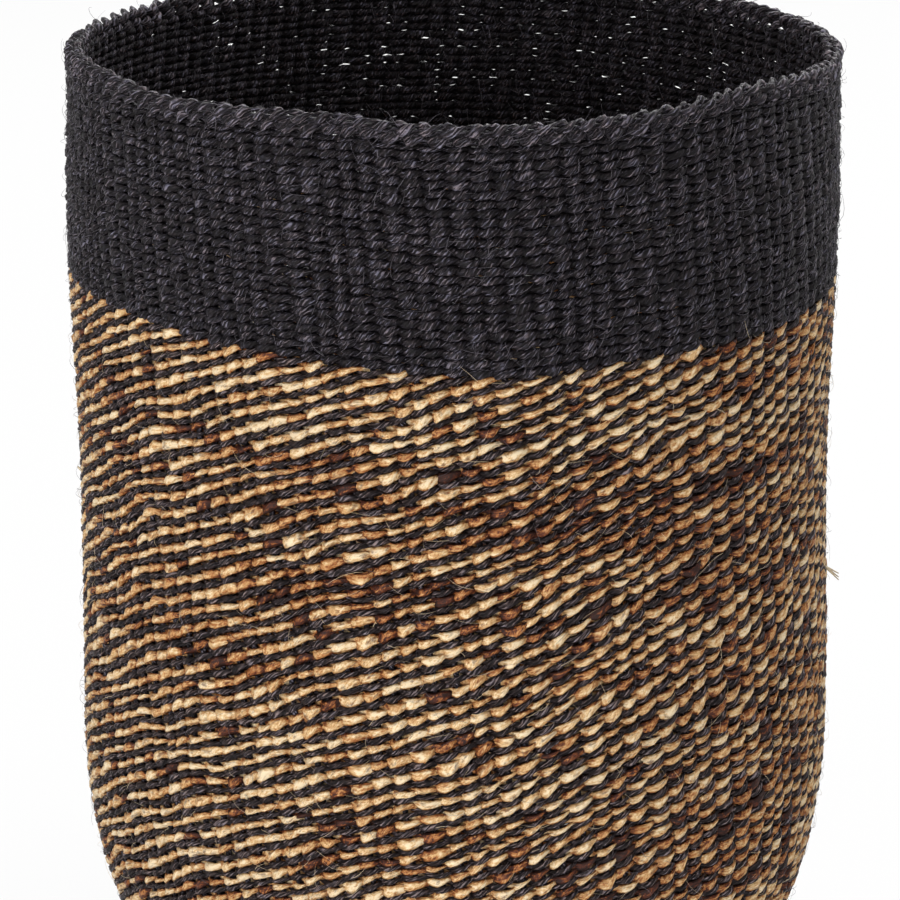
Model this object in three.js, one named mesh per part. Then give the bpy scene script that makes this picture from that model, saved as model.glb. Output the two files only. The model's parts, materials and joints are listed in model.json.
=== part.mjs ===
import * as THREE from "three";

// Round sisal basket, twined by hand: an open vessel with a flat base, a rounded heel,
// a two-tone wall, a black band below the mouth and a folded rim with a cord on each edge.
// Units are millimetres and +Z is up. The origin is the middle of the flat underside.

// Outside form: the belly is the ring at which the wall starts to turn under
const basketHeight = 385;
const bellyRadius = 150.3;
const heelRise = 110;
const heelRun = 48.3;
const waistTuck = 1.3;
const shoulderSwell = 1.2;
const shoulderDepth = 60;
const mouthSwell = 0.2;

// Weave
const weaveThickness = 5.6;
const blackBandDepth = 91;
const startKnotRadius = 15;
const startKnotCrown = 1.4;

// Rim: the outer cord lies on the band, and the inner one higher up the fold
const rimFoldHeight = 6;
const rimFoldWidth = 2.8;
const edgeCordDiameter = 2.2;
const innerCordLift = 2.4;

// Clearance where one piece sits on or against the next
const seatGap = 0.3;

// Facets: steps round the basket, along a curved outline and round a cord
const stepsAround = 64;
const heelSteps = 8;
const wallSteps = 6;
const bandSteps = 5;
const crownSteps = 4;
const cordSides = 8;

// Levels and radii that follow from the sizes above
const baseRadius = bellyRadius - heelRun;
const mouthRadius = bellyRadius + mouthSwell;
const shoulderLevel = basketHeight - shoulderDepth;
const bandBottom = basketHeight - blackBandDepth;
const rimFoldBottom = basketHeight - rimFoldHeight;
const bandTop = rimFoldBottom - seatGap;
const rimMiddleRadius = mouthRadius - weaveThickness / 2;
const edgeCordRadius = edgeCordDiameter / 2;
const edgeCordOffset = rimFoldWidth / 2 + seatGap + edgeCordRadius;
const outerCordLevel = bandTop + seatGap + edgeCordRadius;
const innerCordLevel = outerCordLevel + innerCordLift;
const wallRings = [
  { level: heelRise, radius: bellyRadius },
  { level: (heelRise + shoulderLevel) / 2, radius: bellyRadius - waistTuck },
  { level: shoulderLevel, radius: bellyRadius + shoulderSwell },
  { level: basketHeight, radius: mouthRadius },
];

const blackSisal = new THREE.MeshStandardMaterial({
  color: new THREE.Color("rgb(40, 37, 41)"),
  roughness: 0.7,
  metalness: 0,
});
const twoToneWeave = new THREE.MeshStandardMaterial({
  color: new THREE.Color("rgb(122, 95, 76)"),
  roughness: 0.6,
  metalness: 0,
});
const naturalFibre = new THREE.MeshStandardMaterial({
  color: new THREE.Color("rgb(196, 152, 106)"),
  roughness: 0.55,
  metalness: 0,
});

// Evenly spaced shares of a stretch, from 0 to 1
function shares(steps) {
  return Array.from({ length: steps + 1 }, (_, step) => step / steps);
}

// Outside radius of the wall at a level, easing from one ring to the next
function wallRadius(level) {
  const above = wallRings.findIndex((ring) => ring.level >= level);
  const upper = wallRings[Math.max(above, 1)];
  const lower = wallRings[Math.max(above, 1) - 1];
  const ease = THREE.MathUtils.smoothstep(level, lower.level, upper.level);
  return THREE.MathUtils.lerp(lower.radius, upper.radius, ease);
}

// A stretch of the wall between two levels, as outside points up and inside points down
function wallOutline(bottom, top, steps) {
  const levels = shares(steps).map((share) => THREE.MathUtils.lerp(bottom, top, share));
  const outside = levels.map((level) => new THREE.Vector2(wallRadius(level), level));
  const inside = outside.map((point) => new THREE.Vector2(point.x - weaveThickness, point.y));
  return [...outside, ...inside.reverse()];
}

// Quarter of an ellipse that turns from level at the base to upright at the belly
function heelArc(inset) {
  const startRadius = baseRadius + seatGap;
  const endLevel = heelRise - seatGap;
  return shares(heelSteps).map((share) => {
    const turn = (share * Math.PI) / 2;
    const radius = startRadius + (bellyRadius - startRadius - inset) * Math.sin(turn);
    return new THREE.Vector2(radius, endLevel - (endLevel - inset) * Math.cos(turn));
  });
}

// Flat disc of weave round the start knot
function baseOutline() {
  const innerRadius = startKnotRadius + seatGap;
  return [
    new THREE.Vector2(innerRadius, 0),
    new THREE.Vector2(baseRadius, 0),
    new THREE.Vector2(baseRadius, weaveThickness),
    new THREE.Vector2(innerRadius, weaveThickness),
  ];
}

// Knot of crossed warps at the middle, crowned on the inside of the basket
function startKnotOutline() {
  const crown = shares(crownSteps).map((share) => {
    const radius = startKnotRadius * Math.cos((share * Math.PI) / 2);
    const rise = startKnotCrown * Math.sin((share * Math.PI) / 2);
    return new THREE.Vector2(radius, weaveThickness + rise);
  });
  crown[crownSteps].x = 0;
  return [new THREE.Vector2(0, 0), new THREE.Vector2(startKnotRadius, 0), ...crown];
}

// Upright roll of turned-over warp ends with a round top
function rimFoldOutline() {
  const halfWidth = rimFoldWidth / 2;
  const top = shares(crownSteps * 2).map((share) => {
    const turn = share * Math.PI;
    const radius = rimMiddleRadius + halfWidth * Math.cos(turn);
    return new THREE.Vector2(radius, basketHeight - halfWidth + halfWidth * Math.sin(turn));
  });
  return [
    new THREE.Vector2(rimMiddleRadius + halfWidth, rimFoldBottom),
    ...top,
    new THREE.Vector2(rimMiddleRadius - halfWidth, rimFoldBottom),
  ];
}

// Round section of a cord that lies along one edge of the rim
function edgeCordOutline(radius, level) {
  const sides = shares(cordSides).slice(0, cordSides);
  return sides.map((share) => {
    const turn = share * 2 * Math.PI;
    const across = edgeCordRadius * Math.cos(turn);
    return new THREE.Vector2(radius + across, level + edgeCordRadius * Math.sin(turn));
  });
}

// A ring or disc of the basket, turned about the upright axis
function turnedPiece(name, outline, material) {
  const closes = outline[0].x > 0;
  const profile = closes ? [...outline, outline[0].clone()] : outline;
  const geometry = new THREE.LatheGeometry(profile, stepsAround);
  geometry.rotateX(Math.PI / 2);
  const mesh = new THREE.Mesh(geometry, material);
  mesh.name = name;
  return mesh;
}

const base = new THREE.Group();
base.add(
  turnedPiece("base_start_knot", startKnotOutline(), naturalFibre),
  turnedPiece("base_weave", baseOutline(), twoToneWeave),
);

const body = new THREE.Group();
body.add(
  turnedPiece("heel_weave", [...heelArc(0), ...heelArc(weaveThickness).reverse()], twoToneWeave),
  turnedPiece(
    "two_tone_wall_weave",
    wallOutline(heelRise, bandBottom - seatGap, wallSteps),
    twoToneWeave,
  ),
  turnedPiece(
    "black_band_weave",
    wallOutline(bandBottom, bandTop, bandSteps),
    blackSisal,
  ),
);

const rim = new THREE.Group();
rim.add(
  turnedPiece("rim_fold", rimFoldOutline(), blackSisal),
  turnedPiece(
    "rim_edge_cord_outer",
    edgeCordOutline(rimMiddleRadius + edgeCordOffset, outerCordLevel),
    blackSisal,
  ),
  turnedPiece(
    "rim_edge_cord_inner",
    edgeCordOutline(rimMiddleRadius - edgeCordOffset, innerCordLevel),
    blackSisal,
  ),
);

const basket = new THREE.Group();
basket.add(base, body, rim);

export default basket;
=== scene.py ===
import json
import math

import bmesh
import bpy
import numpy as np
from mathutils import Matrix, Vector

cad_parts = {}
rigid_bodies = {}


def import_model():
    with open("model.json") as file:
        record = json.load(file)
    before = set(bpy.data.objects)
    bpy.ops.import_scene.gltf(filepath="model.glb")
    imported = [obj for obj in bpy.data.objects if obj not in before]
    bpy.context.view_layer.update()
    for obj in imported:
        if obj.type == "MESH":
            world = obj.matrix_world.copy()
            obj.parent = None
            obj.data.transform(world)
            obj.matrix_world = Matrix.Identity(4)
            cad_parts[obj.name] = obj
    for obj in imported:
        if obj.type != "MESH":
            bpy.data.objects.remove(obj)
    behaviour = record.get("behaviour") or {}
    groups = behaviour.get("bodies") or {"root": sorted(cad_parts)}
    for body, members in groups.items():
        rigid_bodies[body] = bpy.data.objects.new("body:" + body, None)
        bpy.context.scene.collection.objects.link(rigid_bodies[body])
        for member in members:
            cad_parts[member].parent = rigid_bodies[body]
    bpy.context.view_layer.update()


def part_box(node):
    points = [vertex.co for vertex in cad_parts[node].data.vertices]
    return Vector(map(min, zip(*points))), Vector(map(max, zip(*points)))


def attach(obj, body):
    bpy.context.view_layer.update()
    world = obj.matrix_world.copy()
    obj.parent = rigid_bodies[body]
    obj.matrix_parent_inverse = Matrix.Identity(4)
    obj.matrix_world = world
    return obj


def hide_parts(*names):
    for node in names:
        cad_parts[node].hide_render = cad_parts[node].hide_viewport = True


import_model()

bl_info = {
    "name": "Sisal basket",
    "version": (1, 0, 0),
    "blender": (4, 5, 0),
    "location": "3D View > Sidebar > Basket",
    "description": "Twines a two-tone sisal basket round its packed CAD model",
    "category": "Add Mesh",
}

MM = 0.001
# Corners of the CAD pieces that the outside form follows
BASE_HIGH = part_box("base_weave")[1]
HEEL_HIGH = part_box("heel_weave")[1]
KNOT_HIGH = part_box("base_start_knot")[1]
BAND_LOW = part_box("black_band_weave")[0]
RIM_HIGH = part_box("rim_fold")[1]


# Sizes and colours


def length(name, description, default):
    return bpy.props.FloatProperty(
        name=name, description=description, default=default, unit="LENGTH", precision=5
    )


def amount(name, description, default):
    return bpy.props.FloatProperty(name=name, description=description, default=default)


def whole_number(name, description, default):
    return bpy.props.IntProperty(name=name, description=description, default=default)


def colour(name, description, red, green, blue):
    return bpy.props.FloatVectorProperty(
        name=name,
        description=description,
        default=tuple(written_colour(red, green, blue)),
        subtype="COLOR",
        size=3,
        min=0.0,
        max=1.0,
    )


def written_colour(red, green, blue):
    """A screen colour of 0 to 255 as the linear values that Blender works in."""
    steps = np.array([red, green, blue]) / 255
    return np.where(steps <= 0.04045, steps / 12.92, ((steps + 0.055) / 1.055) ** 2.4)


class BasketSizes(bpy.types.PropertyGroup):
    """Sizes of the weave. The outside form comes from the CAD model."""

    wall_thickness: length("Wall thickness", "One warp with a strand on each side", 0.0056)
    two_tone_course: length("Two-tone course", "Height of one course of the wall", 0.00325)
    band_course: length("Band course", "Height of one course of the black band", 0.0034)
    warps: whole_number("Warps", "Upright cords round the basket, an odd number", 115)
    warp_radius: length("Warp radius", "Half the thickness of an upright cord", 0.0012)
    warp_crowding: amount("Warp crowding", "How much closer the warps lie on the left", 0.06)
    warp_lean: amount("Warp lean", "Warps passed for each metre up the wall", 15.0)
    rim_height: length("Rim height", "Height of the bound edge", 0.0080)
    stray_fibres: whole_number("Stray fibres", "Loose fibre ends on the surface", 3900)
    rim_fibres: whole_number("Rim fibres", "Fine fibres that stand off the rim", 500)
    short_fibres: whole_number("Short fibres", "Fine fibres lying on the black band", 3000)


class BasketColours(bpy.types.PropertyGroup):
    """Colours of the two fibres."""

    # Painted shade: the black between the plies, darker where shade falls; the rim uses it too
    black_groove_shade: colour("Black groove", "Black sisal between its plies", 12, 9, 11)
    black_ply: colour("Black ply", "Black sisal on its plies", 42, 38, 43)
    # Partly paler fibres and partly a painted highlight on the black sisal
    black_fibre_highlight: colour("Black highlight", "Paler fibres in the black sisal", 118, 113, 124)
    rim_ply: colour("Rim ply", "Black sisal of the rim on its plies", 54, 49, 55)
    # Partly paler fibres and partly a painted highlight on the rim
    rim_fibre_highlight: colour("Rim highlight", "Paler fibres in the rim", 139, 132, 143)
    # Painted shade: the black of the two-tone wall between its plies, darker where shade falls
    wall_groove_shade: colour("Wall groove", "Black sisal of the two-tone wall between its plies", 17, 12, 13)
    wall_ply: colour("Wall ply", "Black sisal of the two-tone wall on its plies", 54, 46, 47)
    # Partly paler fibres and partly a painted highlight on the two-tone wall
    wall_fibre_highlight: colour("Wall highlight", "Paler fibres in the two-tone wall", 132, 120, 122)
    cream: colour("Cream", "Palest strip", 233, 212, 177)
    straw: colour("Straw", "Common strip", 214, 179, 129)
    tan: colour("Tan", "Common strip", 191, 146, 96)
    orange_brown: colour("Orange brown", "Weathered strip", 158, 97, 49)
    red_brown: colour("Red brown", "Dark strip", 82, 38, 22)
    dark_brown: colour("Dark brown", "Darkest strip", 35, 14, 8)
    stray_pale: colour("Stray fibre", "Loose ends on the two-tone wall", 226, 205, 170)
    # Partly the paler colour of loose black fibres and partly a painted highlight
    stray_grey_highlight: colour("Stray black fibre", "Loose ends on the black band", 104, 98, 107)


class StageSettings(bpy.types.PropertyGroup):
    """Camera, floor and light."""

    camera_distance: length("Camera distance", "From the basket's axis", 1.650)
    camera_height: length("Camera height", "Above the floor", 0.716)
    camera_pitch: bpy.props.FloatProperty(
        name="Camera pitch",
        description="Down from level",
        default=math.radians(16.782),
        subtype="ANGLE",
    )
    camera_lens: amount("Lens", "Focal length in millimetres", 172.38)
    camera_shift: amount("Shift", "Sideways shift of the frame", -0.0039)
    key_power: amount("Lamp power", "Watts that each lamp takes its share of", 26.0)
    sky_strength: amount("Sky", "Light from all round", 0.05)
    floor_colour: colour("Floor", "Pale floor", 255, 255, 255)


def sizes():
    return bpy.context.scene.basket_sizes


def colours():
    return bpy.context.scene.basket_colours


def stage_settings():
    return bpy.context.scene.basket_stage


# Form of the basket

# Rise and fall of the rim and of the band's lower edge round the basket, in millimetres.
# Each pair is an angle in degrees, from the front towards +X, and a height.
RIM_WAVE = (
    (-150, -0.6), (-105, -1.0), (-66, 2.0), (-45, 0.2), (-30, 1.2), (-16, 1.9), (-5, -0.4),
    (8, -1.0), (20, -0.1), (32, 1.1), (46, 4.1), (60, 2.0), (76, -0.5), (110, -1.2),
)
EDGE_WAVE = (
    (-150, 0.0), (-105, 2.8), (-57, 4.7), (-41, 3.1), (-18, 0.2), (8, -3.9), (24, -1.0),
    (52, -1.2), (75, 0.4), (120, -0.6),
)

# Height of a two-tone course at some levels above the floor, both in millimetres, in a wall
# whose usual course has the height that comes first
USUAL_COURSE = 3.25
COURSE_HEIGHTS = (
    (0, 3.25), (95, 3.28), (125, 2.96), (155, 3.55), (186, 3.32), (214, 3.18), (242, 3.18),
    (270, 3.04), (294, 2.98),
)

# Waves that pull the courses up and down, in millimetres, the warps aside, in warps, and the
# wall in and out, in millimetres. Each has a size, a number of waves round the basket,
# radians for each millimetre up and a start.
COURSE_DRIFT = (
    (0.50, 7, 0.19, 0.4), (0.42, -11, 0.23, 2.0), (0.30, 16, 0.15, 4.1), (0.35, -4, 0.12, 1.0),
)
WARP_DRIFT = ((0.10, 13, 0.017, 1.0), (0.08, -21, 0.022, 0.0), (0.06, 31, -0.012, 2.0))
WALL_DENTS = ((0.5, 2, 0.0, 0.6), (0.35, 3, 1 / 70, 0.0), (0.25, 5, -1 / 40, 0.0))

# How far up from the edge of the base the waves and the dents have their full size
FULL_DRIFT_AT = 40
FULL_DENT_AT = 60

# Wall above the heel, as in the CAD model: depth of the shoulder below the rim, and how far
# the waist, the shoulder and the mouth stand in or out from the belly
SHOULDER_DEPTH = 60
WAIST_TUCK = 1.3
SHOULDER_SWELL = 1.2
MOUTH_SWELL = 0.2

# The outline runs on above the rim, because the rows along it rise and fall
ABOVE_RIM = 4

# Strands under the base are pressed flat, and stay this far above the floor
FLOOR_CLEARANCE = 0.05


def outline_of_the_wall():
    """Middle surface of the weave from the centre of the base to the rim, in millimetres.

    Returns arrays of path length, radius, level and the two parts of the outward normal, and
    the path lengths of the base's edge, the heel's end, the band's start and the rim."""
    half = sizes().wall_thickness / MM / 2
    base_radius = BASE_HIGH.x / MM
    belly = HEEL_HIGH.x / MM
    heel_top = HEEL_HIGH.z / MM
    rim_level = RIM_HIGH.z / MM
    flat = np.linspace(0, base_radius, 120, endpoint=False)
    turn = np.linspace(0, math.pi / 2, 300, endpoint=False)
    shoulder = rim_level - SHOULDER_DEPTH
    rings = np.array([heel_top, (heel_top + shoulder) / 2, shoulder, rim_level])
    outs = np.array([belly, belly - WAIST_TUCK, belly + SHOULDER_SWELL, belly + MOUTH_SWELL])
    up = np.linspace(heel_top, rim_level + ABOVE_RIM, 1200)
    lower = np.clip(np.searchsorted(rings, up, side="right") - 1, 0, 2)
    share = np.clip((up - rings[lower]) / (rings[lower + 1] - rings[lower]), 0, 1)
    ease = share * share * (3 - 2 * share)
    wall = outs[lower] + (outs[lower + 1] - outs[lower]) * ease - half
    radius = np.concatenate([flat, base_radius + (belly - base_radius - half) * np.sin(turn), wall])
    level = np.concatenate([np.full(flat.size, half), heel_top - (heel_top - half) * np.cos(turn), up])
    path = np.concatenate([[0], np.cumsum(np.hypot(np.diff(radius), np.diff(level)))])
    across, rise = np.gradient(radius, path), np.gradient(level, path)
    size = np.hypot(across, rise)

    def path_at(height):
        return float(np.interp(height, level[flat.size :], path[flat.size :]))

    return {
        "path": path,
        "radius": radius,
        "level": level,
        "out": rise / size,
        "down": -across / size,
        "base_edge": base_radius,
        "heel_end": path_at(heel_top),
        "band_start": path_at(BAND_LOW.z / MM),
        "rim": path_at(rim_level),
    }


def wave_height(wave, angle):
    """Smooth height round the basket through the pairs of a wave."""
    at, high = np.transpose(wave)
    at = np.radians(at)
    turned = np.mod(angle - at[0], 2 * math.pi)
    knots = np.append(at - at[0], 2 * math.pi)
    values = np.append(high, high[0])
    between = np.mod(np.roll(at, -1) - np.roll(at, 1), 2 * math.pi)
    slopes = (np.roll(high, -1) - np.roll(high, 1)) / between
    slopes = np.append(slopes, slopes[0])
    cell = np.clip(np.searchsorted(knots, turned, side="right") - 1, 0, high.size - 1)
    width = knots[cell + 1] - knots[cell]
    share = (turned - knots[cell]) / width
    return (
        values[cell] * (1 + 2 * share) * (1 - share) ** 2
        + slopes[cell] * width * share * (1 - share) ** 2
        + values[cell + 1] * share * share * (3 - 2 * share)
        - slopes[cell + 1] * width * share * share * (1 - share)
    )


def course_shift(form, angle, path):
    """How far a course is pulled up or down at an angle, in millimetres."""
    band_start = form["band_start"]
    edge = wave_height(EDGE_WAVE, angle)
    rim = wave_height(RIM_WAVE, angle)
    # Below the band a course takes a share of the wave of the band's edge
    places = [form["base_edge"], form["heel_end"], band_start - 60, band_start]
    below = np.interp(path, places, [0.0, 1.3, 1.35, 1.0]) * edge
    # In the band the wave of its edge turns into that of the rim
    share = np.clip((form["rim"] - path) / (form["rim"] - band_start), 0, 1)
    above = share * edge + (1 - share) * rim
    # The drift begins above the base and fades in the band
    fade = np.clip((path - form["base_edge"]) / FULL_DRIFT_AT, 0, 1)
    fade = fade * np.interp(path - band_start, [-30, 5, 70, 85], [1.0, 0.25, 0.2, 0.0])
    drift = fade * hand_drift(COURSE_DRIFT, angle, path)
    return np.where(path < band_start, below, above) + drift


def hand_drift(terms, angle, path):
    """Slow unevenness of work done by hand, as a sum of waves over the wall."""
    return sum(size * np.sin(around * angle + up * path + start) for size, around, up, start in terms)


def place(form, angle, path, out):
    """Points in metres at an angle, a path length up the wall and a height above its middle."""
    radius = np.interp(path, form["path"], form["radius"])
    level = np.interp(path, form["path"], form["level"])
    dent = hand_drift(WALL_DENTS, angle, path)
    dent = dent * np.clip((path - form["base_edge"]) / FULL_DENT_AT, 0, 1)
    reach = radius + (out + dent) * np.interp(path, form["path"], form["out"])
    height = np.maximum(level + out * np.interp(path, form["path"], form["down"]), FLOOR_CLEARANCE)
    return np.stack([reach * np.sin(angle), -reach * np.cos(angle), height], -1) * MM


def wall_warps():
    """Number, crowding and lean of the warps in the wall."""
    given = sizes()
    return given.warps, given.warp_crowding, given.warp_lean


def warp_count_at(form, angle, path, warps):
    """Warps passed at an angle and a path length, from a number of warps, crowding and lean."""
    number, crowding, lean = warps
    climb = np.maximum(path - form["base_edge"], 0)
    count = number / (2 * math.pi) * (angle + crowding * np.cos(angle)) + lean * MM * climb
    return count + np.clip(climb / FULL_DRIFT_AT, 0, 1) * hand_drift(WARP_DRIFT, angle, path)


# Modelling helpers


def deselect_all():
    for item in bpy.context.view_layer.objects:
        item.select_set(False)
    bpy.context.view_layer.objects.active = None


def select_ring(mesh, at):
    """Selects the vertices of an edit-mode tube near one place along X."""
    edit = bmesh.from_edit_mesh(mesh)
    for vertex in edit.verts:
        vertex.select_set(abs(vertex.co.x - at) < 1e-4)
    edit.select_flush_mode()
    bmesh.update_edit_mesh(mesh)


def model_stitch_pair(
    sides, phases, crest, cross, reach, rise, taper=2.0, droop=0.0, slant=0.0, flat=1.0
):
    """One strand over one warp and behind the next, modelled lying along X.

    Phases are degrees from the crest on the outside, and the length of the pair is 2 warps.
    Crest and cross give half the height and half the thickness of the strand there.
    Droop is how far the crest hangs down in millimetres, and slant moves the upper part of
    each ring along by a share of its height. The strand stays out longer with flat below 1.
    Returns its rings' middles, its rings' points round them, in millimetres, and the same
    points on a round strand of radius 1."""
    deselect_all()
    bpy.ops.mesh.primitive_cylinder_add(
        vertices=sides, radius=1, depth=2, end_fill_type="NOTHING", rotation=(0, math.pi / 2, 0)
    )
    piece = bpy.context.active_object
    bpy.ops.object.transform_apply(location=True, rotation=True, scale=True)
    bpy.ops.object.mode_set(mode="EDIT")
    places = [phase / 180 - 1 for phase in phases]
    for at in places[1:]:
        bpy.ops.mesh.select_all(action="SELECT")
        bpy.ops.mesh.bisect(plane_co=(at, 0, 0), plane_no=(1, 0, 0))
    middles, halves = [], []
    for phase, at in zip(phases, places):
        turn = math.radians(phase)
        swell = abs(math.cos(turn)) ** taper
        half_height = cross[0] + (crest[0] - cross[0]) * swell
        half_thick = cross[1] + (crest[1] - cross[1]) * swell
        halves.append((1, half_height, half_thick))
        stand_off = math.copysign(abs(math.cos(turn)) ** flat, math.cos(turn))
        middle = (at, rise * math.sin(turn) - droop * swell, reach * stand_off)
        select_ring(piece.data, at)
        bpy.ops.transform.resize(
            value=(1, half_height, half_thick), center_override=(at, 0, 0), orient_type="GLOBAL"
        )
        bpy.ops.transform.translate(value=(0, middle[1], middle[2]), orient_type="GLOBAL")
        middles.append(middle)
    bpy.ops.object.mode_set(mode="OBJECT")
    points = np.array([vertex.co for vertex in piece.data.vertices])
    bpy.data.meshes.remove(piece.data)
    rings = []
    for middle in middles:
        ring = points[np.abs(points[:, 0] - middle[0]) < 1e-3] - np.array(middle)
        around = np.arctan2(ring[:, 1], ring[:, 2])
        rings.append(ring[np.argsort(around)])
    rings = np.array(rings)
    round_rings = rings / np.array(halves)[:, None]
    rings[..., 0] = slant * rings[..., 1] / WARP_SPACING
    return np.array(middles), rings, round_rings


def strand_mesh(name, strands, material):
    """One mesh of many closed strands.

    Each strand is a dict with points of shape (rings, sides, 3), lay of the same shape and
    tone of shape (rings,)."""
    points, lays, tones, loops, totals = [], [], [], [], []
    start = 0
    for strand in strands:
        rings, sides = strand["points"].shape[:2]
        index = np.arange(rings * sides).reshape(rings, sides) + start
        after = np.roll(index, -1, axis=1)
        quads = np.stack([index[:-1], index[1:], after[1:], after[:-1]], -1).reshape(-1, 4)
        loops.append(quads.ravel())
        totals.append(np.full(len(quads), 4))
        loops.append(index[0])
        loops.append(index[-1][::-1])
        totals.append(np.array([sides, sides]))
        points.append(strand["points"].reshape(-1, 3))
        lays.append(strand["lay"].reshape(-1, 3))
        tones.append(np.repeat(strand["tone"], sides))
        start += rings * sides
    points = np.concatenate(points)
    loops = np.concatenate(loops)
    totals = np.concatenate(totals)
    mesh = bpy.data.meshes.new(name)
    mesh.vertices.add(len(points))
    mesh.vertices.foreach_set("co", points.astype(np.float32).ravel())
    mesh.loops.add(len(loops))
    mesh.loops.foreach_set("vertex_index", loops.astype(np.int32))
    mesh.polygons.add(len(totals))
    starts = np.concatenate([[0], np.cumsum(totals)[:-1]])
    mesh.polygons.foreach_set("loop_start", starts.astype(np.int32))
    mesh.polygons.foreach_set("use_smooth", np.ones(len(totals), bool))
    mesh.update(calc_edges=True)
    lay = mesh.attributes.new("fibre_lay", "FLOAT_VECTOR", "POINT")
    lay.data.foreach_set("vector", np.concatenate(lays).astype(np.float32).ravel())
    tone = mesh.attributes.new("tone", "FLOAT", "POINT")
    tone.data.foreach_set("value", np.concatenate(tones).astype(np.float32))
    piece = bpy.data.objects.new(name, mesh)
    bpy.context.scene.collection.objects.link(piece)
    mesh.materials.append(material)
    return piece


def add_piece(name, strands, material, slot, *nodes):
    """Makes one piece of the basket of strands, puts it under the root body and hides its CAD parts."""
    piece = strand_mesh(name, strands, material)
    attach(piece, "root")
    if nodes:
        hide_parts(*nodes)


# Twining


# Height of the course that a stitch is modelled for and the usual distance between warps
MODELLED_COURSE = 3.3
WARP_SPACING = 8.2

# Steps of a spiral in one turn round the basket
TURN_STEPS = 360


def spiral_of_courses(form, first, last, heights, warps):
    """One long spiral of courses between two path lengths.

    Heights are pairs of a level and the height of a course there. Returns the continuous
    angle, path length, warp count and height of the course along the spiral, finely stepped."""
    climb = np.linspace(first, last, 2000)
    level = np.interp(climb, form["path"], form["level"])
    course = np.interp(level, *np.transpose(heights))
    turn_at = np.concatenate([[0], np.cumsum(np.diff(climb) * 2 / (course[1:] + course[:-1]))])
    turns = round(turn_at[-1])
    turn_at *= turns / turn_at[-1]
    turn = np.linspace(0, turns, turns * TURN_STEPS + 1)
    angle = turn * 2 * math.pi - math.pi
    path = np.interp(turn, turn_at, climb)
    path = path + course_shift(form, angle, path)
    # The course is as high as half the way from the course below it to the one above
    two_courses = path[2 * TURN_STEPS :] - path[: -2 * TURN_STEPS]
    height = np.interp(turn, turn[TURN_STEPS:-TURN_STEPS], two_courses / 2)
    return angle, path, warp_count_at(form, angle, path, warps), height


def run_out(form, spiral, warps):
    """A spiral with one more turn, whose course gets lower and lower until it ends."""
    angle, path, count, height = spiral
    share = np.linspace(0, 1, TURN_STEPS + 1)[1:]
    last = slice(-TURN_STEPS, None)
    extra_angle = angle[last] + 2 * math.pi
    extra_path = path[last] + height[last] * (1 - 0.5 * share)
    extra_count = warp_count_at(form, extra_angle, extra_path, warps)
    return (
        np.concatenate([angle, extra_angle]),
        np.concatenate([path, extra_path]),
        np.concatenate([count, extra_count]),
        np.concatenate([height, height[last] * (1 - 0.9 * share)]),
    )


def lengthened(spiral, steps):
    """A spiral that runs on at both ends, so that its strands reach into the rings beside it."""
    before = np.arange(-steps, 0)
    after = np.arange(1, steps + 1)
    longer = []
    for values in spiral[:3]:
        start = values[0] + before * (values[1] - values[0])
        end = values[-1] + after * (values[-1] - values[-2])
        longer.append(np.concatenate([start, values, end]))
    return (*longer, np.pad(spiral[3], steps, mode="edge"))


def twine(form, spiral, stitch, behind, seed, unevenness, tone_of):
    """One strand of the pair along a spiral. Behind is 1 for the strand that starts inside.

    The stitch fits itself to the height of the course it lies in."""
    angle, path, count, height = spiral
    middles, rings, round_rings = stitch
    first = math.ceil(count[0] / 2) * 2 - behind
    while first < count[0] + 1:
        first += 2
    pairs = int((count[-1] - 1 - first) // 2)
    # A stitch pair runs from one crest outside to the next
    at = (first + 1 + np.arange(pairs)[:, None] * 2 + middles[:, 0]).ravel()
    crest = np.round(at).astype(int)
    low = int(crest.min()) - 2
    total = int(crest.max()) - low + 4
    wander = np.random.default_rng(seed)

    def spread(kind):
        """A random amount at each crest, blended between crests."""
        amounts = unevenness[kind] * np.clip(wander.normal(size=total), -2, 2)
        return np.interp(at, np.arange(total) + low, amounts)

    swell = 1 + spread("swell")
    lift = spread("lift")
    stand = spread("stand")
    slip = spread("slip")
    middle_up, middle_out = np.tile(middles[:, 1:], (pairs, 1)).T
    section = np.tile(rings, (pairs, 1, 1))
    section[..., 1:] += unevenness["rough"] * wander.normal(size=(*section.shape[:2], 2))
    ring_angle = np.interp(at + slip, count, angle)
    ring_path = np.interp(ring_angle, angle, path)
    radius = np.interp(ring_path, form["path"], form["radius"])
    fit = np.interp(ring_angle, angle, height) / MODELLED_COURSE
    up = ((middle_up + lift)[:, None] + section[..., 1] * swell[:, None]) * fit[:, None]
    middle_out = middle_out + stand * np.sign(middle_out)
    out = middle_out[:, None] + section[..., 2] * (0.5 + 0.5 * swell[:, None])
    turned = ring_angle[:, None] + section[..., 0] * WARP_SPACING / radius[:, None]
    # The twist of a cord keeps step with the warps, give or take a little
    lay = np.tile(round_rings, (pairs, 1, 1))
    lay[..., 0] = (at * WARP_SPACING + spread("twist"))[:, None]
    return {
        "points": place(form, turned, ring_path[:, None] + up, out),
        "lay": lay,
        "tone": tone_of(at, ring_angle, ring_path, total, low),
        "path": ring_path,
    }


def cut_by_path(strand, low, high):
    """The stretch of a spiral strand between two path lengths."""
    first, last = np.searchsorted(np.maximum.accumulate(strand["path"]), [low, high])
    return {key: values[first : last + 1] for key, values in strand.items()}


def smooth_random(count, step, seed):
    """Random values of about -1 to 1 that change over a number of stitches."""
    wander = np.random.default_rng(seed)
    knots = wander.normal(size=int(count / step) + 4)
    return np.interp(np.arange(count) / step, np.arange(knots.size), knots)


def of_nearest_stitch(value, at, low):
    """The value of the stitch that each place belongs to."""
    return value[np.clip(np.round(at).astype(int) - low, 0, value.size - 1)]


def tucked(at, power):
    """How deep each place lies between two warps, from 0 at a crest to 1."""
    return (2 * np.abs(at - np.round(at))) ** power


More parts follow.
